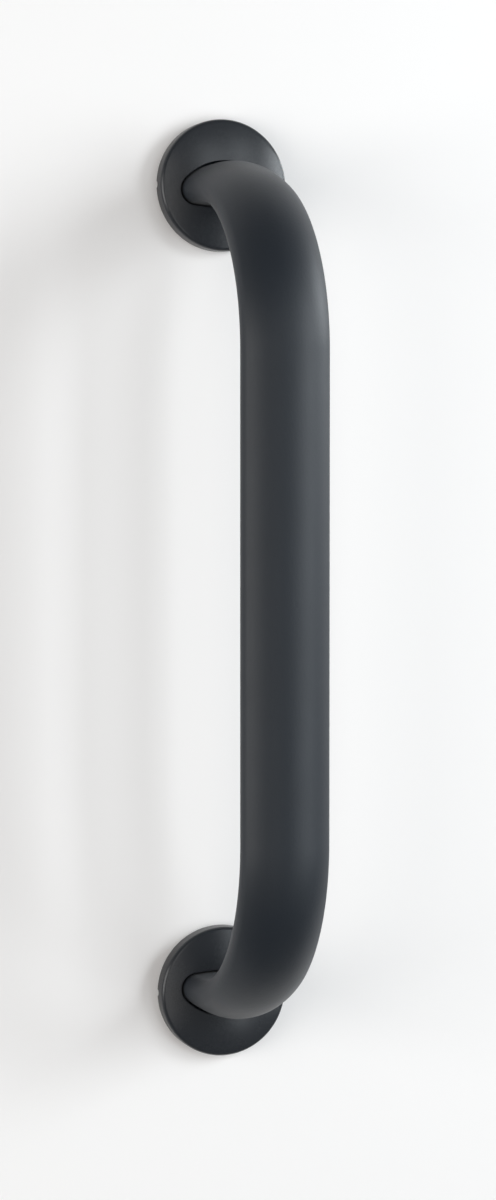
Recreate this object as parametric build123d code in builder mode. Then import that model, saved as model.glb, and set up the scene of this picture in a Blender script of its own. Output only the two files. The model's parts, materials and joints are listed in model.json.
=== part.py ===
from build123d import *
import os
from math import atan2, cos, radians, sin, sqrt, tan

# Wall grab bar: an oval steel tube with a flattened back, bent to a bow and welded into two round plates.
# Each plate is held by countersunk screws and hidden under a domed cover that clips on its edge.
#
# Frame: +X to the right along the wall, +Y into the wall, +Z up. The wall is the plane Y = 0, and the
# origin lies on it, midway between the two fixing centres. Sizes are in millimetres.

# Bow of the bar
fixing_centres = 368.0  # from the middle of one plate to the middle of the other
neck_length = 16.9  # straight leg from the wall to where the bend begins
bend_radius = 77.5  # of the tube's middle line

# Flat-backed oval tube
tube_width = 40.0  # across, along the wall
tube_depth = 19.6  # in the plane of the bow
tube_back_depth = 7.4  # from the oval's widest line to its back, which lies inside the bow
tube_edge_radius = 6.4  # of the two narrow sides
tube_wall = 1.5

# Mounting plates
plate_thickness = 3.0
plate_edge_margin = 1.6  # metal left between a countersink and the plate's edge
plate_edge_chamfer = 0.5
plate_tube_clearance = 0.15  # round the tube in its hole
tube_end_recess = 0.8  # the tube stops short of the wall by this
weld_leg = 1.5
weld_toe = 0.3  # upright foot of the weld bead

# Screws, four to a plate
screw_direction = 60.0  # from the plate's middle, off the X axis
screw_length = 50.0
screw_thread_diameter = 4.5
screw_neck_diameter = 3.2
screw_tip_length = 6.0
screw_head_diameter = 8.6
screw_head_sink = 0.1  # below the face of the plate
screw_seat_clearance = 0.05  # between the head's cone and its countersink
screw_hole_clearance = 0.2  # round the thread as it passes the plate
screw_weld_gap = 0.28  # between a countersink and the weld
screw_cone_angle = 90.0
drive_length = 4.4  # cross recess in the head
drive_width = 1.1
drive_depth = 1.6

# Covers
cover_wall = 1.3
cover_dome_radius = 109.0  # outside
cover_roof_clearance = 3.7  # above the edge of the plate
cover_tube_gap = 1.0  # shadow gap round the tube
cover_wall_gap = 0.2  # from the rim to the wall
cover_edge_radius = 2.0
cover_mouth_radius = 0.3  # rounding of the opening for the tube
rib_count = 6
rib_depth = 0.8
rib_width = 3.0
rib_plate_clearance = 0.1
pry_notch_radius = 1.5

# Sizes that follow from the ones above
bar_reach = neck_length + bend_radius
tube_half_width = tube_width / 2
tube_half_depth = tube_depth / 2
screw_head_radius = screw_head_diameter / 2
screw_neck_radius = screw_neck_diameter / 2
screw_thread_radius = screw_thread_diameter / 2
screw_hole_radius = screw_thread_radius + screw_hole_clearance
screw_cone_slope = tan(radians(screw_cone_angle / 2))
screw_head_top = plate_thickness - screw_head_sink
screw_cone_end = screw_head_top - (screw_head_radius - screw_neck_radius) / screw_cone_slope
thread_length = screw_length - screw_head_top - screw_tip_length
countersink_radius = screw_head_radius + screw_seat_clearance + screw_head_sink * screw_cone_slope
tube_edge_middle = tube_half_width - tube_edge_radius
tube_widest_line = tube_half_depth - tube_back_depth
oval_reach = (
    tube_edge_middle * cos(radians(screw_direction))
    + tube_widest_line * sin(radians(screw_direction))
    + tube_edge_radius
)  # from the middle of the oval to the line that touches it, square to the screw's direction
screw_circle_radius = oval_reach + weld_leg + screw_weld_gap + countersink_radius
screw_spacing_across = 2 * screw_circle_radius * cos(radians(screw_direction))
screw_spacing_along = 2 * screw_circle_radius * sin(radians(screw_direction))
plate_radius = screw_circle_radius + countersink_radius + plate_edge_margin
cover_inner_radius = plate_radius + rib_plate_clearance + rib_depth
cover_radius = cover_inner_radius + cover_wall
roof_radius = cover_dome_radius - cover_wall
dome_centre = plate_thickness + cover_roof_clearance - sqrt(roof_radius**2 - plate_radius**2)
cover_crown = dome_centre + cover_dome_radius
cover_rim_height = dome_centre + sqrt(cover_dome_radius**2 - cover_radius**2)
roof_edge_height = dome_centre + sqrt(roof_radius**2 - cover_inner_radius**2)

os.makedirs("parts", exist_ok=True)


def finish(piece, name):
    piece.label = name
    export_step(piece, f"parts/{name}.step")


def crown_radius(depth):
    """Radius of the arc that touches both narrow sides of the oval and stands this far off its widest line."""
    return (tube_edge_middle**2 + depth**2 - tube_edge_radius**2) / (2 * (depth - tube_edge_radius))


def flat_backed_oval(margin, back):
    """Section of the tube, grown all round by this margin, with its back on the Y side that has this sign."""
    edge = tube_edge_radius + margin
    crown = tube_half_depth + margin
    widest = back * tube_widest_line
    front_depth = tube_depth - tube_back_depth
    front_turn = atan2(crown_radius(front_depth) - front_depth, tube_edge_middle)
    back_turn = atan2(crown_radius(tube_back_depth) - tube_back_depth, tube_edge_middle)
    front_x = tube_edge_middle + edge * cos(front_turn)
    front_y = widest - back * edge * sin(front_turn)
    back_x = tube_edge_middle + edge * cos(back_turn)
    back_y = widest + back * edge * sin(back_turn)
    outline = [
        ThreePointArc((-front_x, front_y), (0, -back * crown), (front_x, front_y)),
        ThreePointArc((front_x, front_y), (tube_edge_middle + edge, widest), (back_x, back_y)),
        ThreePointArc((back_x, back_y), (0, back * crown), (-back_x, back_y)),
        ThreePointArc((-back_x, back_y), (-tube_edge_middle - edge, widest), (-front_x, front_y)),
    ]
    return make_face(outline)


# Bar: one length of flat-backed tube with two equal bends
tube_outside = flat_backed_oval(0, -1)
tube_bore = flat_backed_oval(-tube_wall, -1)
with BuildPart() as bar_tube:
    with BuildLine(Plane.YZ):
        FilletPolyline(
            (-tube_end_recess, fixing_centres / 2),
            (-bar_reach, fixing_centres / 2),
            (-bar_reach, -fixing_centres / 2),
            (-tube_end_recess, -fixing_centres / 2),
            radius=bend_radius,
        )
    with BuildSketch(Plane((0, -tube_end_recess, fixing_centres / 2), x_dir=(1, 0, 0), z_dir=(0, -1, 0))):
        add(tube_outside)
        add(tube_bore, mode=Mode.SUBTRACT)
    sweep()
finish(bar_tube.part, "bar_tube")

# One screw, head up, with the wall at height 0 where its thread begins
with BuildPart() as screw:
    with BuildSketch(Plane.XZ):
        with BuildLine():
            Polyline(
                (0, screw_head_top),
                (screw_head_radius, screw_head_top),
                (screw_neck_radius, screw_cone_end),
                (0, screw_cone_end),
                close=True,
            )
        make_face()
    revolve(axis=Axis.Z)
    Cylinder(screw_neck_radius, screw_head_top, align=(Align.CENTER, Align.CENTER, Align.MIN))
    with BuildSketch(Plane.XZ):
        with BuildLine():
            Polyline(
                (0, 0),
                (screw_thread_radius, 0),
                (screw_thread_radius, -thread_length),
                (0, -thread_length - screw_tip_length),
                close=True,
            )
        make_face()
    revolve(axis=Axis.Z)
    with BuildSketch(Plane.XY.offset(screw_head_top)):
        Rectangle(drive_length, drive_width)
        Rectangle(drive_width, drive_length)
    extrude(amount=-drive_depth, mode=Mode.SUBTRACT)

for end, height, back in (("upper", fixing_centres / 2, -1), ("lower", -fixing_centres / 2, 1)):
    # On the wall at this end, seen from the room
    wall = Plane((0, 0, height), x_dir=(1, 0, 0), z_dir=(0, -1, 0))
    # Radius along X, height off the wall along Y
    section = Plane((0, 0, height), x_dir=(1, 0, 0), z_dir=(0, 0, -1))
    axis = Axis((0, 0, height), (0, -1, 0))
    tube_oval = flat_backed_oval(0, back)
    plate_hole = flat_backed_oval(plate_tube_clearance, back)
    weld_oval = flat_backed_oval(weld_leg, back)
    cover_opening = flat_backed_oval(cover_tube_gap, back)

    # Mounting plate, with a hole for the tube
    with BuildPart(wall) as plate:
        with BuildSketch(wall):
            Circle(plate_radius)
            add(plate_hole, mode=Mode.SUBTRACT)
        extrude(amount=plate_thickness)
        rims = plate.edges().filter_by(GeomType.CIRCLE).filter_by(lambda edge: edge.is_closed)
        front_rim = rims.sort_by(axis)[-1]
        chamfer(front_rim, length=plate_edge_chamfer)
        with Locations((0, 0, plate_thickness)):
            with GridLocations(screw_spacing_across, screw_spacing_along, 2, 2):
                CounterSinkHole(
                    screw_hole_radius,
                    countersink_radius,
                    depth=plate_thickness,
                    counter_sink_angle=screw_cone_angle,
                )
    finish(plate.part, f"{end}_mounting_plate")

    # Fillet weld between the tube and the front of the plate
    with BuildPart() as weld:
        with BuildSketch(wall.offset(plate_thickness)):
            add(weld_oval)
            add(tube_oval, mode=Mode.SUBTRACT)
        extrude(amount=weld_leg)
        crest = weld.faces().sort_by(axis)[-1].outer_wire().edges()
        chamfer(crest, length=weld_leg - weld_toe)
    finish(weld.part, f"{end}_weld_bead")

    # The screws of this plate
    with BuildPart(wall) as plate_screws:
        with GridLocations(screw_spacing_across, screw_spacing_along, 2, 2):
            add(screw.part)
    finish(plate_screws.part, f"{end}_screws")

    # Domed cover: a thin shell with grip ribs inside its rim and a notch to pry it off
    with BuildPart() as cover:
        with BuildSketch(section):
            with BuildLine():
                outside = Line((cover_radius, cover_wall_gap), (cover_radius, cover_rim_height))
                dome = RadiusArc(outside @ 1, (0, cover_crown), -cover_dome_radius)
                middle = Line(dome @ 1, (0, cover_crown - cover_wall))
                roof = RadiusArc(middle @ 1, (cover_inner_radius, roof_edge_height), roof_radius)
                inside = Line(roof @ 1, (cover_inner_radius, cover_wall_gap))
                Line(inside @ 1, outside @ 0)
            make_face()
        revolve(axis=axis)
        shoulder = cover.edges().filter_by(wall).group_by(SortBy.RADIUS)[-1].sort_by(axis)[-1]
        fillet(shoulder, radius=cover_edge_radius)
        with BuildSketch(wall):
            add(cover_opening)
        extrude(amount=cover_crown + cover_wall, mode=Mode.SUBTRACT)
        dome_face = cover.faces().filter_by(GeomType.SPHERE).sort_by(SortBy.AREA)[-1]
        mouth = dome_face.edges().filter_by(GeomType.BSPLINE)
        fillet(mouth, radius=cover_mouth_radius)
        with BuildSketch(wall.offset(cover_wall_gap)):
            rib_length = rib_depth + cover_wall / 2
            with PolarLocations(
                plate_radius + rib_plate_clearance + rib_length / 2, rib_count, start_angle=180.0 / rib_count
            ):
                Rectangle(rib_length, rib_width)
        extrude(amount=plate_thickness - cover_wall_gap)
        with BuildSketch(Plane((-cover_radius, -cover_wall_gap, height), x_dir=(0, 0, 1), z_dir=(1, 0, 0))):
            Circle(pry_notch_radius)
        extrude(amount=cover_wall + rib_depth, mode=Mode.SUBTRACT)
    finish(cover.part, f"{end}_cover")
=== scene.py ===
import json
from math import asin, atan2, copysign, cos, pi, radians, sin, sqrt, tan, tau

import bpy
from mathutils import Matrix, Vector


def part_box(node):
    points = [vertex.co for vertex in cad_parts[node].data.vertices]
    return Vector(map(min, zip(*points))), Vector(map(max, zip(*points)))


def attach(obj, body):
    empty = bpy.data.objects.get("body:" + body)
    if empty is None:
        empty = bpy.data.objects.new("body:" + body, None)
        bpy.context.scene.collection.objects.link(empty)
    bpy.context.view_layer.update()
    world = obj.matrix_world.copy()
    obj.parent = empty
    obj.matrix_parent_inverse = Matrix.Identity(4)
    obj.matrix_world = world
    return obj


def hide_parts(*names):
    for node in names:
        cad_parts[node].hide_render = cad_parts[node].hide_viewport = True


# Looks of a wall grab bar: a powder coated tube with a flat-backed oval section, welded into two plates,
# with domed plastic covers and wood screws.
#
# Frame: metres, +X to the right along the wall, +Y into the wall, +Z up. The wall is the plane Y = 0.

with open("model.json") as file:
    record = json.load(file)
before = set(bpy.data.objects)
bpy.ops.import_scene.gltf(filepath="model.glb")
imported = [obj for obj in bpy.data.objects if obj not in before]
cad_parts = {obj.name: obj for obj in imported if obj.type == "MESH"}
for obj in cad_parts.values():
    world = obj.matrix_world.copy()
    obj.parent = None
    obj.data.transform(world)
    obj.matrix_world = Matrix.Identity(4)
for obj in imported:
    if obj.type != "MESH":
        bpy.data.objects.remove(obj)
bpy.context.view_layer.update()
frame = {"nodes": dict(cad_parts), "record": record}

# Sizes read from the frame
tube_low, tube_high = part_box("bar_tube")
plate_low, plate_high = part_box("upper_mounting_plate")
cover_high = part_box("upper_cover")[1]
screws_low, screws_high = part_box("upper_screws")
weld_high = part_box("upper_weld_bead")[1]
record = frame["record"]
slot_colours = {material["slot"]: material["base_color"] for material in record["materials"]}
screw_mount = next(mount for mount in record["mounts"] if mount["name"] == "upper_plate_screws")
MILLIMETRE = 0.001

fixing_height = (plate_low.z + plate_high.z) / 2
ends = {"upper": fixing_height, "lower": -fixing_height}
tube_half_width = tube_high.x
tube_half_depth = tube_high.z - fixing_height
bar_reach = -tube_low.y - tube_half_depth
plate_radius = plate_high.x
plate_thickness = -plate_low.y
cover_radius = cover_high.x
cover_wall_gap = -cover_high.y
weld_leg = weld_high.x - tube_half_width
screw_length = screws_high.y - screws_low.y
screw_spacing_across = screw_mount["dims"]["spacing_x_mm"] * MILLIMETRE
screw_spacing_along = screw_mount["dims"]["spacing_y_mm"] * MILLIMETRE
screw_thread_radius = screw_mount["dims"]["stud_r_mm"] * MILLIMETRE

# Sizes that the boxes don't show, as the solids have them apart from the cover's mouth
BEND_RADIUS = 0.0775
TUBE_BACK_DEPTH = 0.0074
TUBE_EDGE_RADIUS = 0.0064
TUBE_WALL = 0.0015
COVER_WALL = 0.0013
COVER_DOME_RADIUS = 0.109
COVER_ROOF_CLEARANCE = 0.0037
COVER_TUBE_GAP = 0.001
COVER_EDGE_RADIUS = 0.002
COVER_MOUTH_RADIUS = 0.00012  # crisper than the solids' 0.3 mm
RIB_COUNT = 6
RIB_WIDTH = 0.003
RIB_PLATE_CLEARANCE = 0.0001
PRY_NOTCH_RADIUS = 0.0015
SCREW_HEAD_RADIUS = 0.0043
SCREW_NECK_RADIUS = 0.0016
SCREW_TIP_LENGTH = 0.006
DRIVE_LENGTH = 0.0044
DRIVE_WIDTH = 0.0011
DRIVE_DEPTH = 0.0016

# Fine forms that the solids leave out
RIB_DRAFT = 0.0003  # by which a rib's sides slope
SCREW_PITCH = 0.0022
RIDGE_STEEPNESS = 4.0  # the thread's ridge takes up the middle half of each turn
WELD_RIPPLES = 52
WELD_RIPPLE_DEPTH = 0.16  # as a share of the weld's leg
WELD_UNEVENNESS_SCALE = 220.0

# Fineness of the meshes
BEND_STEPS = 72
TUBE_STEPS = 128
COVER_STEPS = 240
DOME_RINGS = 26
ROOF_RINGS = 14
ROUNDING_STEPS = 6
NOTCH_STEPS = 14
SCREW_SIDES = 24
ROWS_PER_PITCH = 12
WELD_STEPS = 624
WELD_ARC_STEPS = 10
SHARP_ANGLE = radians(32)
MERGE_DISTANCE = 1e-6
ANGLE_DECIMALS = 6  # to which nearly equal angles of a cover's sections fall together

# Finish of the bar, its plates and their welds
COAT_COLOUR = (0.0088, 0.0126, 0.0184)
COAT_ROUGHNESS = 0.5
COAT_SPECULAR = 0.375
COAT_SHEEN = 0.06
COAT_RELIEF = 0.00003
COAT_GRAIN = {"Grain Size": 0.00035, "Peel Size": 0.0013, "Cloud Size": 0.030, "Unevenness": 0.16}

# Finish of the covers
PLASTIC_COLOUR = (0.0190, 0.0212, 0.0250)
PLASTIC_ROUGHNESS = 0.27
PLASTIC_SPECULAR = 0.4
PLASTIC_SHEEN = 0.0
PLASTIC_RELIEF = 0.00001
PLASTIC_GRAIN = {"Grain Size": 0.00022, "Peel Size": 0.0008, "Cloud Size": 0.018, "Unevenness": 0.10}

# Finish of the screws
STEEL_GRAIN = {"Grain Size": 0.0004, "Peel Size": 0.0011, "Cloud Size": 0.006, "Unevenness": 0.3}
STEEL_LEAST_ROUGHNESS = 0.2
TURNING_MARK_ROUGHNESS = 0.25
TURNING_MARK_SCALE = 180.0
TURNING_MARK_STRETCH = (1.0, 30.0, 1.0)
TURNING_MARK_STRENGTH = 0.5
TURNING_MARK_RELIEF = 0.00003

NOISE_MIDDLE = 0.5  # about which noise textures vary

# Share of the fine grain in the grained surfaces' mottling and height, and of the mottling in their gloss
GRAIN_IN_MOTTLE = 0.6
GRAIN_IN_HEIGHT = 0.5
MOTTLE_IN_GLOSS = -0.5

# Camera, as found from the edges of the bar and its covers in the 496 by 1200 picture
CAMERA_YAW = radians(18.463)
CAMERA_PITCH = radians(2.586)
CAMERA_DISTANCE = 1.4
CAMERA_RIGHT = 0.013227
CAMERA_UP = -0.004595
CAMERA_LENS = 91.65
CAMERA_SENSOR = 36.0

# Wall of the studio
WALL_HALF_WIDTH = 1.5
WALL_HALF_HEIGHT = 0.6
WALL_SETBACK = 0.0002  # behind the backs of the plates
WALL_COLOUR = (0.930, 0.904, 0.888)
WALL_CLOUD_SHADE = 0.985  # of the wall's colour, where its mottling is darkest
WALL_CLOUD_SCALE = 3.0
CLOSE_RAY = 0.0006  # rays shorter than this pass through the wall

# Light of the studio: soft panels on a sphere round the bar, in an even, dim room
ROOM_STRENGTH = 0.13
STUDIO_RADIUS = 2.0
WARM_LIGHT = (1.0, 0.985, 0.965)
COOL_LIGHT = (0.90, 0.96, 1.0)
# Name, azimuth and elevation of the middle, angles across and up, radiance and colour. The angles are in
# degrees, and azimuths count from straight in front of the wall, to the right.
SOFT_PANELS = (
    ("left_glow", -73.0, 0.0, 26.0, 29.0, 5.3, WARM_LIGHT),
    ("left_fill", -50.0, 0.0, 20.0, 29.0, 2.8, WARM_LIGHT),
    ("left_card", -16.5, -2.5, 15.0, 55.0, 2.0, WARM_LIGHT),
    ("front_card", 10.5, 18.5, 13.0, 21.0, 3.1, COOL_LIGHT),
    ("right_strip", 27.0, 0.0, 8.0, 60.0, 4.8, COOL_LIGHT),
    ("near_window", 53.0, 14.5, 18.0, 25.0, 8.4, COOL_LIGHT),
    ("bright_pane", 50.0, 18.0, 8.0, 14.0, 7.0, COOL_LIGHT),
    ("far_window", 90.0, 18.5, 10.0, 17.0, 52.0, COOL_LIGHT),
    ("low_panel", 47.0, -9.0, 16.0, 22.0, 5.2, COOL_LIGHT),
)

# Kinds of node socket
FLOAT = "NodeSocketFloat"
INTEGER = "NodeSocketInt"
VECTOR = "NodeSocketVector"
SHAPE = "NodeSocketGeometry"
FINISH = "NodeSocketMaterial"


# Node trees


def add_node(tree, kind, inputs=None, **settings):
    """Adds a node. A node given as an input stands for its first output, a list for several links."""
    made = tree.nodes.new(kind)
    for name, value in settings.items():
        setattr(made, name, value)
    for name, value in (inputs or {}).items():
        for one in value if isinstance(value, list) else [value]:
            if isinstance(one, bpy.types.Node):
                one = next(socket for socket in one.outputs if socket.enabled)
            if isinstance(one, bpy.types.NodeSocket):
                tree.links.new(one, made.inputs[name])
            else:
                made.inputs[name].default_value = one
    return made


def add_math(tree, operation, first, second=0.0, clamp=False):
    return add_node(tree, "ShaderNodeMath", {0: first, 1: second}, operation=operation, use_clamp=clamp)


def new_tree(name, kind, inputs, outputs):
    """A node group with these named sockets, along with what it is given and what it makes."""
    tree = bpy.data.node_groups.new(name, kind)
    for in_out, sockets in (("INPUT", inputs), ("OUTPUT", outputs)):
        for socket_name, socket_type in sockets.items():
            tree.interface.new_socket(socket_name, in_out=in_out, socket_type=socket_type)
    given = tree.nodes.new("NodeGroupInput").outputs
    made = tree.nodes.new("NodeGroupOutput").inputs
    return tree, given, made


def end_tree(tree, given, made, shape):
    """Ends a geometry tree: one real mesh, in its finish."""
    real = add_node(tree, "GeometryNodeRealizeInstances", {"Geometry": shape})
    finished = add_node(tree, "GeometryNodeSetMaterial", {"Geometry": real, "Material": given["Finish"]})
    tree.links.new(finished.outputs["Geometry"], made["Geometry"])


# Section of the bar: a shallow arc for its back, a rounder one for its front and a small one for each side
tube_edge_middle = tube_half_width - TUBE_EDGE_RADIUS
tube_front_depth = 2 * tube_half_depth - TUBE_BACK_DEPTH
tube_widest_line = tube_half_depth - TUBE_BACK_DEPTH


def crown_radius(depth):
    """Radius of the arc that touches both small arcs and stands this far off the section's widest line."""
    return (tube_edge_middle**2 + depth**2 - TUBE_EDGE_RADIUS**2) / (2 * (depth - TUBE_EDGE_RADIUS))


tube_front_radius = crown_radius(tube_front_depth)
tube_back_radius = crown_radius(TUBE_BACK_DEPTH)
tube_front_turn = atan2(tube_front_radius - tube_front_depth, tube_edge_middle)
tube_back_turn = atan2(tube_back_radius - TUBE_BACK_DEPTH, tube_edge_middle)
OVAL_SOCKETS = {
    "Edge Radius": FLOAT,
    "Edge Middle": FLOAT,
    "Widest Line": FLOAT,
    "Front Radius": FLOAT,
    "Front Depth": FLOAT,
    "Front Turn": FLOAT,
    "Back Radius": FLOAT,
    "Back Depth": FLOAT,
    "Back Turn": FLOAT,
}
oval_sizes = {
    "Edge Radius": TUBE_EDGE_RADIUS,
    "Edge Middle": tube_edge_middle,
    "Widest Line": tube_widest_line,
    "Front Radius": tube_front_radius,
    "Front Depth": tube_front_depth,
    "Front Turn": tube_front_turn,
    "Back Radius": tube_back_radius,
    "Back Depth": TUBE_BACK_DEPTH,
    "Back Turn": tube_back_turn,
}


def oval_point(turn, margin, back):
    """Point of the grown section that faces this turn. The back is up where its sign is 1, or else down."""
    lean = atan2(back * sin(turn), abs(cos(turn)))
    middle = Vector((0.0, tube_widest_line))
    radius = TUBE_EDGE_RADIUS
    if lean > tube_back_turn:
        radius = tube_back_radius
        middle.y -= tube_back_radius - TUBE_BACK_DEPTH
    elif lean < -tube_front_turn:
        radius = tube_front_radius
        middle.y += tube_front_radius - tube_front_depth
    else:
        middle.x = copysign(tube_edge_middle, cos(turn))
    middle.y *= back
    return middle + (radius + margin) * Vector((cos(turn), sin(turn)))


# Shapes that follow a rule


def add_oval_curve(tree, given, steps):
    """Adds the section as a closed curve, back down: each point of a circle moves to its own arc."""
    circle = add_node(tree, "GeometryNodeCurvePrimitiveCircle", {"Resolution": steps, "Radius": 1.0})
    place = add_node(tree, "ShaderNodeSeparateXYZ", {0: add_node(tree, "GeometryNodeInputPosition")})
    across = place.outputs["X"]
    down = add_math(tree, "MULTIPLY", place.outputs["Y"], -1.0)
    lean = add_math(tree, "ARCTAN2", down, add_math(tree, "ABSOLUTE", across))
    on_back = add_math(tree, "GREATER_THAN", lean, given["Back Turn"])
    on_front = add_math(tree, "LESS_THAN", lean, add_math(tree, "MULTIPLY", given["Front Turn"], -1.0))
    on_side = add_math(tree, "SUBTRACT", add_math(tree, "SUBTRACT", 1.0, on_back), on_front)
    radius = add_math(tree, "MULTIPLY", on_side, given["Edge Radius"])
    middle = given["Widest Line"]
    for chosen, arc, side in ((on_back, "Back", "SUBTRACT"), (on_front, "Front", "ADD")):
        radius = add_math(tree, "ADD", radius, add_math(tree, "MULTIPLY", chosen, given[f"{arc} Radius"]))
        away = add_math(tree, "SUBTRACT", given[f"{arc} Radius"], given[f"{arc} Depth"])
        middle = add_math(tree, side, middle, add_math(tree, "MULTIPLY", chosen, away))
    out = add_math(tree, "MULTIPLY", add_math(tree, "SIGN", across), given["Edge Middle"])
    moved_x = add_math(
        tree, "ADD", add_math(tree, "MULTIPLY", on_side, out), add_math(tree, "MULTIPLY", radius, across)
    )
    moved_y = add_math(tree, "ADD", middle, add_math(tree, "MULTIPLY", radius, down))
    moved = add_node(
        tree, "ShaderNodeCombineXYZ", {"X": moved_x, "Y": add_math(tree, "MULTIPLY", moved_y, -1.0)}
    )
    return add_node(tree, "GeometryNodeSetPosition", {"Geometry": circle, "Position": moved})


def bent_tube_tree():
    """Sweeps the wall of a flat-backed oval along a line whose corners are bent to one radius."""
    sizes = {"Bend Radius": FLOAT, **OVAL_SOCKETS, "Wall": FLOAT}
    tree, given, made = new_tree(
        "bent_oval_tube",
        "GeometryNodeTree",
        {"Geometry": SHAPE, **sizes, "Bend Steps": INTEGER, "Round Steps": INTEGER, "Finish": FINISH},
        {"Geometry": SHAPE},
    )
    corners = add_node(tree, "GeometryNodeMeshToCurve", {"Mesh": given["Geometry"]})
    bow = add_node(
        tree,
        "GeometryNodeFilletCurve",
        {"Curve": corners, "Radius": given["Bend Radius"], "Count": given["Bend Steps"]},
        mode="POLY",
    )
    upright = add_node(
        tree, "GeometryNodeSetCurveNormal", {"Curve": bow, "Normal": (1.0, 0.0, 0.0)}, mode="FREE"
    )
    oval = add_oval_curve(tree, given, given["Round Steps"])
    outside = add_node(tree, "GeometryNodeCurveToMesh", {"Curve": upright, "Profile Curve": oval})
    inward = add_math(tree, "MULTIPLY", given["Wall"], -1.0)
    inside = add_node(
        tree, "GeometryNodeExtrudeMesh", {"Mesh": outside, "Offset Scale": inward, "Individual": False}
    )
    lining = add_node(tree, "GeometryNodeFlipFaces", {"Mesh": inside})
    both = add_node(tree, "GeometryNodeJoinGeometry", {"Geometry": [outside, lining]})
    closed = add_node(tree, "GeometryNodeMergeByDistance", {"Geometry": both, "Distance": MERGE_DISTANCE})
    end_tree(tree, given, made, closed)
    return tree


def weld_bead_tree():
    """A rippled bead round the section, in the corner between the tube and the front of its plate."""
    sizes = {**OVAL_SOCKETS, "Leg": FLOAT, "Ripple Depth": FLOAT, "Turn": FLOAT}
    tree, given, made = new_tree(
        "rippled_weld_bead",
        "GeometryNodeTree",
        {"Geometry": SHAPE, **sizes, "Ripples": FLOAT, "Steps": INTEGER, "Seed": FLOAT, "Finish": FINISH},
        {"Geometry": SHAPE},
    )
    oval = add_oval_curve(tree, given, given["Steps"])
    upright = add_node(
        tree, "GeometryNodeSetCurveNormal", {"Curve": oval, "Normal": (0.0, 0.0, 1.0)}, mode="FREE"
    )
    along = add_node(tree, "GeometryNodeSplineParameter")
    turns = add_math(tree, "MULTIPLY", along.outputs["Factor"], given["Ripples"])
    step = add_math(tree, "FRACT", turns)
    place = add_node(tree, "GeometryNodeInputPosition")
    unsteady = add_node(
        tree,
        "ShaderNodeTexNoise",
        {"Vector": place, "W": given["Seed"], "Scale": WELD_UNEVENNESS_SCALE, "Detail": 1.0},
        noise_dimensions="4D",
    )
    dip = add_math(tree, "MULTIPLY", add_math(tree, "POWER", step, 2.0), unsteady)
    full_depth = add_math(tree, "DIVIDE", given["Ripple Depth"], NOISE_MIDDLE)
    shrink = add_math(tree, "MULTIPLY", dip, full_depth)
    swell = add_math(tree, "SUBTRACT", 1.0, shrink)
    section = add_node(
        tree,
        "GeometryNodeCurveArc",
        {
            "Resolution": WELD_ARC_STEPS,
            "Radius": given["Leg"],
            "Start Angle": 0.0,
            "Sweep Angle": pi / 2,
            "Connect Center": True,
        },
    )
    bead = add_node(
        tree, "GeometryNodeCurveToMesh", {"Curve": upright, "Profile Curve": section, "Scale": swell}
    )
    turned = add_node(tree, "ShaderNodeCombineXYZ", {"X": pi / 2, "Y": given["Turn"]})
    facing = add_node(tree, "GeometryNodeTransform", {"Geometry": bead, "Rotation": turned})
    placed = add_node(
        tree, "GeometryNodeInstanceOnPoints", {"Points": given["Geometry"], "Instance": facing}
    )
    end_tree(tree, given, made, placed)
    return tree


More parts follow.
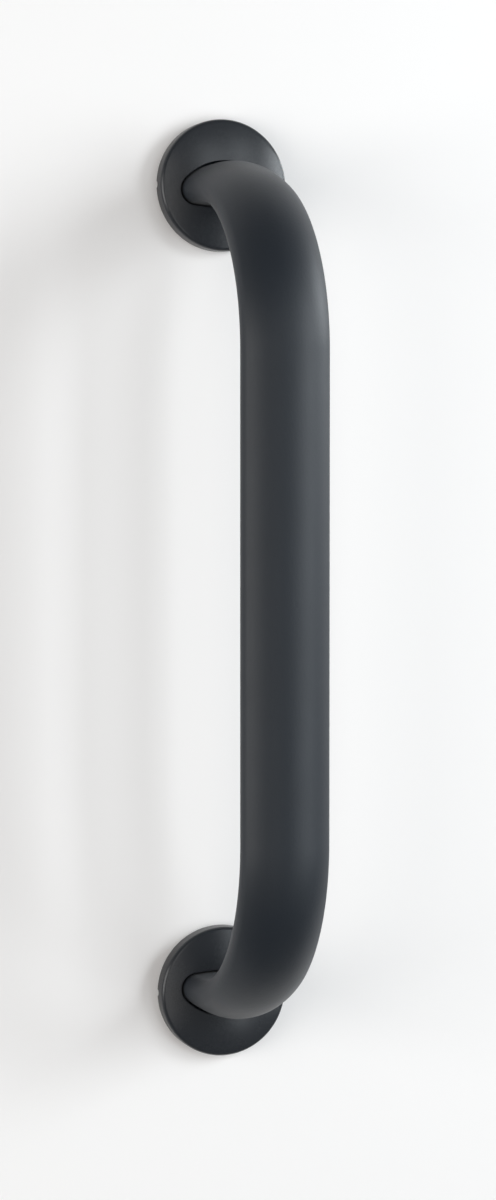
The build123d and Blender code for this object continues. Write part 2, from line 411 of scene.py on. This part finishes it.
def wood_screw_tree():
    """Countersunk wood screws at the given points, each with a helical ridge and a cross recess."""
    sizes = {
        "Length": FLOAT,
        "Head Radius": FLOAT,
        "Neck Radius": FLOAT,
        "Thread Radius": FLOAT,
        "Thread Start": FLOAT,
        "Pitch": FLOAT,
        "Tip Length": FLOAT,
        "Drive Length": FLOAT,
        "Drive Width": FLOAT,
        "Drive Depth": FLOAT,
    }
    tree, given, made = new_tree(
        "wood_screws",
        "GeometryNodeTree",
        {"Geometry": SHAPE, **sizes, "Sides": INTEGER, "Rows": INTEGER, "Seed": INTEGER, "Finish": FINISH},
        {"Geometry": SHAPE},
    )
    blank = add_node(
        tree,
        "GeometryNodeMeshCylinder",
        {
            "Vertices": given["Sides"],
            "Side Segments": given["Rows"],
            "Radius": 1.0,
            "Depth": given["Length"],
        },
        fill_type="NGON",
    )
    place = add_node(tree, "ShaderNodeSeparateXYZ", {0: add_node(tree, "GeometryNodeInputPosition")})
    half = add_math(tree, "MULTIPLY", given["Length"], 0.5)
    depth = add_math(tree, "SUBTRACT", half, place.outputs["Z"])
    angle = add_math(tree, "ARCTAN2", place.outputs["Y"], place.outputs["X"])
    turn = add_math(
        tree,
        "SUBTRACT",
        add_math(tree, "DIVIDE", depth, given["Pitch"]),
        add_math(tree, "DIVIDE", angle, tau),
    )
    off_crest = add_math(tree, "ABSOLUTE", add_math(tree, "SUBTRACT", add_math(tree, "FRACT", turn), 0.5))
    fall = add_math(tree, "MULTIPLY", off_crest, RIDGE_STEEPNESS)
    ridge = add_math(tree, "SUBTRACT", 1.0, fall, clamp=True)
    run_in = add_math(
        tree,
        "DIVIDE",
        add_math(tree, "SUBTRACT", depth, given["Thread Start"]),
        given["Pitch"],
        clamp=True,
    )
    tall = add_math(tree, "SUBTRACT", given["Thread Radius"], given["Neck Radius"])
    thread = add_math(tree, "MULTIPLY", add_math(tree, "MULTIPLY", ridge, run_in), tall)
    cone = add_math(tree, "SUBTRACT", given["Head Radius"], depth)
    shank = add_math(tree, "MAXIMUM", cone, given["Neck Radius"])
    left = add_math(tree, "SUBTRACT", given["Length"], depth)
    taper = add_math(tree, "DIVIDE", left, given["Tip Length"], clamp=True)
    radius = add_math(tree, "MULTIPLY", add_math(tree, "ADD", shank, thread), taper)
    turned = add_node(
        tree,
        "ShaderNodeCombineXYZ",
        {
            "X": add_math(tree, "MULTIPLY", place.outputs["X"], radius),
            "Y": add_math(tree, "MULTIPLY", place.outputs["Y"], radius),
            "Z": add_math(tree, "SUBTRACT", 0.0, depth),
        },
    )
    body = add_node(tree, "GeometryNodeSetPosition", {"Geometry": blank, "Position": turned})
    pointed = add_node(tree, "GeometryNodeMergeByDistance", {"Geometry": body, "Distance": MERGE_DISTANCE})
    deep = add_math(tree, "MULTIPLY", given["Drive Depth"], 2.0)
    slots = []
    for across, along in (("Drive Length", "Drive Width"), ("Drive Width", "Drive Length")):
        size = add_node(tree, "ShaderNodeCombineXYZ", {"X": given[across], "Y": given[along], "Z": deep})
        slots.append(add_node(tree, "GeometryNodeMeshCube", {"Size": size}))
    recessed = add_node(
        tree,
        "GeometryNodeMeshBoolean",
        {"Mesh 1": pointed, "Mesh 2": slots},
        operation="DIFFERENCE",
        solver="EXACT",
    )
    facing = add_node(tree, "GeometryNodeTransform", {"Geometry": recessed, "Rotation": (pi / 2, 0.0, 0.0)})
    any_turn = add_node(
        tree, "FunctionNodeRandomValue", {"Max": tau, "Seed": given["Seed"]}, data_type="FLOAT"
    )
    driven = add_node(
        tree,
        "FunctionNodeEulerToRotation",
        {0: add_node(tree, "ShaderNodeCombineXYZ", {"Y": any_turn.outputs[1]})},
    )
    placed = add_node(
        tree,
        "GeometryNodeInstanceOnPoints",
        {"Points": given["Geometry"], "Instance": facing, "Rotation": driven},
    )
    end_tree(tree, given, made, placed)
    return tree


# Surface effects and finishes


def grain_group():
    """Fine grain of a surface: a tint about 1, a gloss shift about 0 and a height about a half."""
    sizes = {"Grain Size": FLOAT, "Peel Size": FLOAT, "Cloud Size": FLOAT}
    tree, given, made = new_tree(
        "surface_grain",
        "ShaderNodeTree",
        {"Vector": VECTOR, **sizes, "Unevenness": FLOAT},
        {"Tint": FLOAT, "Gloss Shift": FLOAT, "Height": FLOAT},
    )
    layers = {}
    for size, detail in (("Grain Size", 2.0), ("Peel Size", 1.0), ("Cloud Size", 3.0)):
        scale = add_math(tree, "DIVIDE", 1.0, given[size])
        noise = add_node(
            tree, "ShaderNodeTexNoise", {"Vector": given["Vector"], "Scale": scale, "Detail": detail}
        )
        layers[size] = add_math(tree, "SUBTRACT", noise, NOISE_MIDDLE)
    grain_tint = add_math(tree, "MULTIPLY", layers["Grain Size"], GRAIN_IN_MOTTLE)
    mottle = add_math(tree, "ADD", layers["Cloud Size"], grain_tint)
    uneven = add_math(tree, "MULTIPLY", mottle, given["Unevenness"])
    tint = add_math(tree, "ADD", uneven, 1.0)
    shift = add_math(tree, "MULTIPLY", uneven, MOTTLE_IN_GLOSS)
    grain_height = add_math(tree, "MULTIPLY", layers["Grain Size"], GRAIN_IN_HEIGHT)
    rough = add_math(tree, "ADD", layers["Peel Size"], grain_height)
    height = add_math(tree, "ADD", rough, NOISE_MIDDLE)
    for name, value in (("Tint", tint), ("Gloss Shift", shift), ("Height", height)):
        tree.links.new(value.outputs[0], made[name])
    return tree


def start_material(name):
    """A material with an empty tree, its output and its Object coordinates."""
    material = bpy.data.materials.new(name)
    material.use_nodes = True
    tree = material.node_tree
    tree.nodes.clear()
    output = tree.nodes.new("ShaderNodeOutputMaterial")
    place = tree.nodes.new("ShaderNodeTexCoord").outputs["Object"]
    return material, tree, output, place


def grained_finish(name, grain, colour, roughness, specular, sheen, sizes, bump):
    """A sprayed or moulded surface: one colour with cloudy mottling, a fine grain and a soft sheen."""
    material, tree, output, place = start_material(name)
    surface = add_node(tree, "ShaderNodeGroup", node_tree=grain)
    tree.links.new(place, surface.inputs["Vector"])
    for socket_name, value in sizes.items():
        surface.inputs[socket_name].default_value = value
    tinted = add_node(
        tree,
        "ShaderNodeVectorMath",
        {0: tuple(colour), "Scale": surface.outputs["Tint"]},
        operation="SCALE",
    )
    gloss = add_math(tree, "ADD", surface.outputs["Gloss Shift"], roughness)
    relief = add_node(
        tree,
        "ShaderNodeBump",
        {"Height": surface.outputs["Height"], "Strength": 1.0, "Distance": bump},
    )
    skin = add_node(
        tree,
        "ShaderNodeBsdfPrincipled",
        {
            "Base Color": tinted,
            "Roughness": gloss,
            "Specular IOR Level": specular,
            "Sheen Weight": sheen,
            "Normal": relief,
        },
    )
    tree.links.new(skin.outputs["BSDF"], output.inputs["Surface"])
    return material


def plated_steel(grain, colour):
    """Bright plated steel of the screws, with turning marks round their axis."""
    material, tree, output, place = start_material("plated_screw_steel")
    surface = add_node(tree, "ShaderNodeGroup", node_tree=grain)
    tree.links.new(place, surface.inputs["Vector"])
    for socket_name, value in STEEL_GRAIN.items():
        surface.inputs[socket_name].default_value = value
    stretched = add_node(tree, "ShaderNodeMapping", {"Vector": place, "Scale": TURNING_MARK_STRETCH})
    rings = add_node(
        tree, "ShaderNodeTexNoise", {"Vector": stretched, "Scale": TURNING_MARK_SCALE, "Detail": 2.0}
    )
    tinted = add_node(
        tree,
        "ShaderNodeVectorMath",
        {0: tuple(colour), "Scale": surface.outputs["Tint"]},
        operation="SCALE",
    )
    marked = add_math(tree, "MULTIPLY", rings, TURNING_MARK_ROUGHNESS)
    gloss = add_math(tree, "ADD", marked, STEEL_LEAST_ROUGHNESS)
    relief = add_node(
        tree,
        "ShaderNodeBump",
        {"Height": rings, "Strength": TURNING_MARK_STRENGTH, "Distance": TURNING_MARK_RELIEF},
    )
    skin = add_node(
        tree,
        "ShaderNodeBsdfPrincipled",
        {"Base Color": tinted, "Metallic": 1.0, "Roughness": gloss, "Normal": relief},
    )
    tree.links.new(skin.outputs["BSDF"], output.inputs["Surface"])
    return material


# Pieces


def add_piece(name, mesh, replaced):
    """Puts a finished mesh in the scene, riding on the part, in place of its CAD node."""
    for face in mesh.polygons:
        face.use_smooth = True
    mesh.set_sharp_from_angle(angle=SHARP_ANGLE)
    piece = bpy.data.objects.new(name, mesh)
    bpy.context.scene.collection.objects.link(piece)
    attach(piece, "root")
    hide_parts(replaced)


def grow_mesh(name, tree, values, points, edges=()):
    """Runs a geometry tree on a few points, and returns the result as a plain mesh."""
    start = bpy.data.meshes.new(name + "_points")
    start.from_pydata(points, edges, [])
    holder = bpy.data.objects.new(name + "_holder", start)
    bpy.context.scene.collection.objects.link(holder)
    modifier = holder.modifiers.new("shape", "NODES")
    modifier.node_group = tree
    for socket in tree.interface.items_tree:
        if socket.in_out == "INPUT" and socket.name in values:
            modifier[socket.identifier] = values[socket.name]
    evaluated = holder.evaluated_get(bpy.context.evaluated_depsgraph_get())
    mesh = bpy.data.meshes.new_from_object(evaluated)
    mesh.name = name
    # Some trees leave an empty slot ahead of the finish
    if mesh.materials[0] is None:
        mesh.materials.pop(index=0)
    holder.modifiers.remove(modifier)
    bpy.data.objects.remove(holder)
    return mesh


def bar_mesh(finish):
    """The bar's oval tube, bent at both ends."""
    recess = tube_high.y
    corners = [
        (0.0, recess, fixing_height),
        (0.0, -bar_reach, fixing_height),
        (0.0, -bar_reach, -fixing_height),
        (0.0, recess, -fixing_height),
    ]
    values = {
        "Bend Radius": BEND_RADIUS,
        **oval_sizes,
        "Wall": TUBE_WALL,
        "Bend Steps": BEND_STEPS,
        "Round Steps": TUBE_STEPS,
        "Finish": finish,
    }
    return grow_mesh("bent_bar", bent_tube_tree(), values, corners, [(0, 1), (1, 2), (2, 3)])


def weld_mesh(end, tree, seed, finish):
    """The bead at one end of the bar, turned over at the lower end, where the tube's back lies upward."""
    values = {
        **oval_sizes,
        "Turn": 0.0 if end == "upper" else pi,
        "Leg": weld_leg,
        "Ripple Depth": WELD_RIPPLE_DEPTH,
        "Ripples": float(WELD_RIPPLES),
        "Steps": WELD_STEPS,
        "Seed": float(seed),
        "Finish": finish,
    }
    return grow_mesh(f"{end}_rippled_weld", tree, values, [(0.0, -plate_thickness, ends[end])])


def screws_mesh(end, tree, seed, finish):
    """The four screws of one plate."""
    values = {
        "Length": screw_length,
        "Head Radius": SCREW_HEAD_RADIUS,
        "Neck Radius": SCREW_NECK_RADIUS,
        "Thread Radius": screw_thread_radius,
        "Thread Start": -screws_low.y,
        "Pitch": SCREW_PITCH,
        "Tip Length": SCREW_TIP_LENGTH,
        "Drive Length": DRIVE_LENGTH,
        "Drive Width": DRIVE_WIDTH,
        "Drive Depth": DRIVE_DEPTH,
        "Sides": SCREW_SIDES,
        "Rows": round(screw_length / SCREW_PITCH * ROWS_PER_PITCH),
        "Seed": seed,
        "Finish": finish,
    }
    points = []
    for across in (-screw_spacing_across / 2, screw_spacing_across / 2):
        for along in (-screw_spacing_along / 2, screw_spacing_along / 2):
            points.append((across, screws_low.y, ends[end] + along))
    return grow_mesh(f"{end}_wood_screws", tree, values, points)


# Domed covers

roof_radius = COVER_DOME_RADIUS - COVER_WALL
cover_inner_radius = cover_radius - COVER_WALL
rib_inner_radius = plate_radius + RIB_PLATE_CLEARANCE
dome_centre = plate_thickness + COVER_ROOF_CLEARANCE - sqrt(roof_radius**2 - plate_radius**2)


def dome_height(radius):
    return dome_centre + sqrt(COVER_DOME_RADIUS**2 - radius**2)


def roof_height(radius):
    return dome_centre + sqrt(roof_radius**2 - radius**2)


def rib_angles():
    return [tau * (number + 0.5) / RIB_COUNT for number in range(RIB_COUNT)]


def cover_angles():
    """Angles of the cover's sections: even ones, with more at the sides of the ribs and round the notch."""
    angles = [tau * number / COVER_STEPS for number in range(COVER_STEPS)]
    for middle in rib_angles():
        for side in (-1, 1):
            for half_width in (RIB_WIDTH / 2 - RIB_DRAFT / 2, RIB_WIDTH / 2 + RIB_DRAFT / 2):
                angles.append(middle + side * asin(half_width / rib_inner_radius))
    for number in range(NOTCH_STEPS + 1):
        off = PRY_NOTCH_RADIUS * cos(pi * number / NOTCH_STEPS)
        angles.append(pi + asin(off / cover_radius))
    return sorted({round(angle, ANGLE_DECIMALS) for angle in angles})


def inner_radius_at(angle):
    """Radius inside the rim: the wall's, or a rib's with slightly sloping sides."""
    for middle in rib_angles():
        off = abs(sin(angle - middle)) * rib_inner_radius
        if cos(angle - middle) > 0 and off < RIB_WIDTH / 2 + RIB_DRAFT:
            share = min(1.0, max(0.0, (RIB_WIDTH / 2 + RIB_DRAFT / 2 - off) / RIB_DRAFT))
            return cover_inner_radius - share * (cover_inner_radius - rib_inner_radius)
    return cover_inner_radius


def rim_base_at(angle):
    """Height of the rim's lower edge above the wall, raised in a half round at the pry notch."""
    off = cover_radius * sin(angle)
    if cos(angle) < 0 and abs(off) < PRY_NOTCH_RADIUS:
        return cover_wall_gap + sqrt(PRY_NOTCH_RADIUS**2 - off**2)
    return cover_wall_gap


def cover_section(angle, back):
    """Closed loop of points (x, z, height off the wall) through the cover's wall at this angle."""
    mouth = oval_point(angle, COVER_TUBE_GAP, back)
    ray = Vector((cos(angle), sin(angle)))
    loop = []

    # Up the opening's wall, round its edge and out over the dome
    mouth_edge = mouth + ray * COVER_MOUTH_RADIUS
    edge_height = dome_height(mouth_edge.length)
    loop.append((*mouth, roof_height(mouth.length)))
    for number in range(ROUNDING_STEPS):
        turn = pi / 2 * number / ROUNDING_STEPS
        point = mouth + ray * COVER_MOUTH_RADIUS * (1 - cos(turn))
        loop.append((*point, edge_height - COVER_MOUTH_RADIUS * (1 - sin(turn))))
    shoulder_middle = cover_radius - COVER_EDGE_RADIUS
    shoulder_height = dome_centre + sqrt((COVER_DOME_RADIUS - COVER_EDGE_RADIUS) ** 2 - shoulder_middle**2)
    lean = asin(shoulder_middle / (COVER_DOME_RADIUS - COVER_EDGE_RADIUS))
    dome_end = ray * (shoulder_middle + COVER_EDGE_RADIUS * sin(lean))
    for number in range(DOME_RINGS):
        point = mouth_edge.lerp(dome_end, number / DOME_RINGS)
        loop.append((*point, dome_height(point.length)))

    # Round the shoulder, down the rim and up inside it
    for number in range(ROUNDING_STEPS + 1):
        turn = lean + (pi / 2 - lean) * number / ROUNDING_STEPS
        point = ray * (shoulder_middle + COVER_EDGE_RADIUS * sin(turn))
        loop.append((*point, shoulder_height + COVER_EDGE_RADIUS * cos(turn)))
    base = rim_base_at(angle)
    inner = inner_radius_at(angle)
    loop.append((*(ray * cover_radius), base))
    loop.append((*(ray * inner), base))
    loop.append((*(ray * inner), plate_thickness))

    # Off the rib's top, and back under the roof to the opening
    roof_edge = ray * cover_inner_radius
    loop.append((*roof_edge, plate_thickness + RIB_DRAFT))
    for number in range(ROOF_RINGS):
        point = roof_edge.lerp(mouth, number / ROOF_RINGS)
        loop.append((*point, roof_height(point.length)))
    return loop


def cover_mesh(end, finish):
    """A cover as one closed skin: its wall's section at each angle, joined to the next."""
    back = -1 if end == "upper" else 1
    sections = [cover_section(angle, back) for angle in cover_angles()]
    count = len(sections[0])
    points = [(x, -height, ends[end] + z) for section in sections for x, z, height in section]
    faces = []
    for number in range(len(sections)):
        here = number * count
        there = (number + 1) % len(sections) * count
        for step in range(count):
            following = (step + 1) % count
            faces.append((here + step, here + following, there + following, there + step))
    mesh = bpy.data.meshes.new(f"{end}_domed_cover")
    mesh.from_pydata(points, [], faces)
    mesh.materials.append(finish)
    return mesh


# Studio


def add_camera():
    """The camera, which looks at the bar from its left and slightly from above."""
    level = cos(CAMERA_PITCH)
    look = Vector((sin(CAMERA_YAW) * level, cos(CAMERA_YAW) * level, -sin(CAMERA_PITCH)))
    right = Vector((cos(CAMERA_YAW), -sin(CAMERA_YAW), 0.0))
    up = right.cross(look)
    eye = -look * CAMERA_DISTANCE + right * CAMERA_RIGHT + up * CAMERA_UP
    data = bpy.data.cameras.new("camera")
    data.lens = CAMERA_LENS
    data.sensor_width = CAMERA_SENSOR
    camera = bpy.data.objects.new("camera", data)
    camera.matrix_world = Matrix.Translation(eye) @ Matrix((right, up, -look)).transposed().to_4x4()
    bpy.context.scene.collection.objects.link(camera)
    bpy.context.scene.camera = camera


def add_wall():
    """The pale wall behind the bar. It is open to views from behind, and to what lies on it."""
    material, tree, output, place = start_material("pale_wall_paint")
    cloud = add_node(
        tree, "ShaderNodeTexNoise", {"Vector": place, "Scale": WALL_CLOUD_SCALE, "Detail": 2.0}
    )
    dark_colour = tuple(WALL_CLOUD_SHADE * part for part in WALL_COLOUR)
    shade = add_node(
        tree,
        "ShaderNodeMix",
        {0: cloud, 6: dark_colour + (1.0,), 7: WALL_COLOUR + (1.0,)},
        data_type="RGBA",
    )
    paint = add_node(tree, "ShaderNodeBsdfDiffuse", {"Color": shade.outputs[2]})
    clear = add_node(tree, "ShaderNodeBsdfTransparent")
    behind = add_node(tree, "ShaderNodeNewGeometry").outputs["Backfacing"]
    reach = add_node(tree, "ShaderNodeLightPath").outputs["Ray Length"]
    close = add_math(tree, "LESS_THAN", reach, CLOSE_RAY)
    see_through = add_math(tree, "MAXIMUM", behind, close)
    mixed = add_node(tree, "ShaderNodeMixShader", {0: see_through, 1: paint, 2: clear})
    tree.links.new(mixed.outputs[0], output.inputs["Surface"])
    corners = [
        (-WALL_HALF_WIDTH, WALL_SETBACK, -WALL_HALF_HEIGHT),
        (WALL_HALF_WIDTH, WALL_SETBACK, -WALL_HALF_HEIGHT),
        (WALL_HALF_WIDTH, WALL_SETBACK, WALL_HALF_HEIGHT),
        (-WALL_HALF_WIDTH, WALL_SETBACK, WALL_HALF_HEIGHT),
    ]
    mesh = bpy.data.meshes.new("wall")
    mesh.from_pydata(corners, [], [(0, 1, 2, 3)])
    mesh.materials.append(material)
    wall = bpy.data.objects.new("wall", mesh)
    bpy.context.scene.collection.objects.link(wall)


def add_room():
    """An even, dim light from all round."""
    world = bpy.data.worlds.new("dim_room")
    world.use_nodes = True
    background = world.node_tree.nodes["Background"]
    background.inputs["Color"].default_value = (1.0, 1.0, 1.0, 1.0)
    background.inputs["Strength"].default_value = ROOM_STRENGTH
    bpy.context.scene.world = world


def add_soft_light(name, azimuth, elevation, across, up, radiance, colour):
    """A soft panel that faces the middle of the bar and takes up these angles as seen from there."""
    azimuth = radians(azimuth)
    elevation = radians(elevation)
    toward = Vector((sin(azimuth) * cos(elevation), -cos(azimuth) * cos(elevation), sin(elevation)))
    data = bpy.data.lights.new(name, "AREA")
    data.shape = "RECTANGLE"
    data.size = 2 * STUDIO_RADIUS * tan(radians(across) / 2) * cos(elevation)
    data.size_y = 2 * STUDIO_RADIUS * tan(radians(up) / 2)
    data.energy = radiance * pi * data.size * data.size_y
    data.color = colour
    light = bpy.data.objects.new(name, data)
    light.location = toward * STUDIO_RADIUS
    light.rotation_euler = toward.to_track_quat("Z", "Y").to_euler()
    light.visible_camera = False
    bpy.context.scene.collection.objects.link(light)


def add_studio():
    """Room, wall, lights and camera."""
    bpy.context.scene.view_settings.view_transform = "Standard"
    add_room()
    add_wall()
    for panel in SOFT_PANELS:
        add_soft_light(*panel)
    add_camera()


def dress_part():
    """Every piece of the part, in its finish."""
    grain = grain_group()
    coat = grained_finish(
        "anthracite_powder_coat",
        grain,
        COAT_COLOUR,
        COAT_ROUGHNESS,
        COAT_SPECULAR,
        COAT_SHEEN,
        COAT_GRAIN,
        COAT_RELIEF,
    )
    plastic = grained_finish(
        "anthracite_plastic",
        grain,
        PLASTIC_COLOUR,
        PLASTIC_ROUGHNESS,
        PLASTIC_SPECULAR,
        PLASTIC_SHEEN,
        PLASTIC_GRAIN,
        PLASTIC_RELIEF,
    )
    steel = plated_steel(grain, slot_colours["plated_screw"])

    add_piece("bent_oval_bar", bar_mesh(coat), "bar_tube")
    weld_tree = weld_bead_tree()
    screw_tree = wood_screw_tree()
    for seed, end in enumerate(ends):
        cover = cover_mesh(end, plastic)
        weld = weld_mesh(end, weld_tree, seed, coat)
        screws = screws_mesh(end, screw_tree, seed, steel)
        add_piece(f"{end}_domed_cover", cover, f"{end}_cover")
        add_piece(f"{end}_rippled_weld", weld, f"{end}_weld_bead")
        add_piece(f"{end}_wood_screws", screws, f"{end}_screws")
        frame["nodes"][f"{end}_mounting_plate"].material_slots[0].material = coat


dress_part()
add_studio()
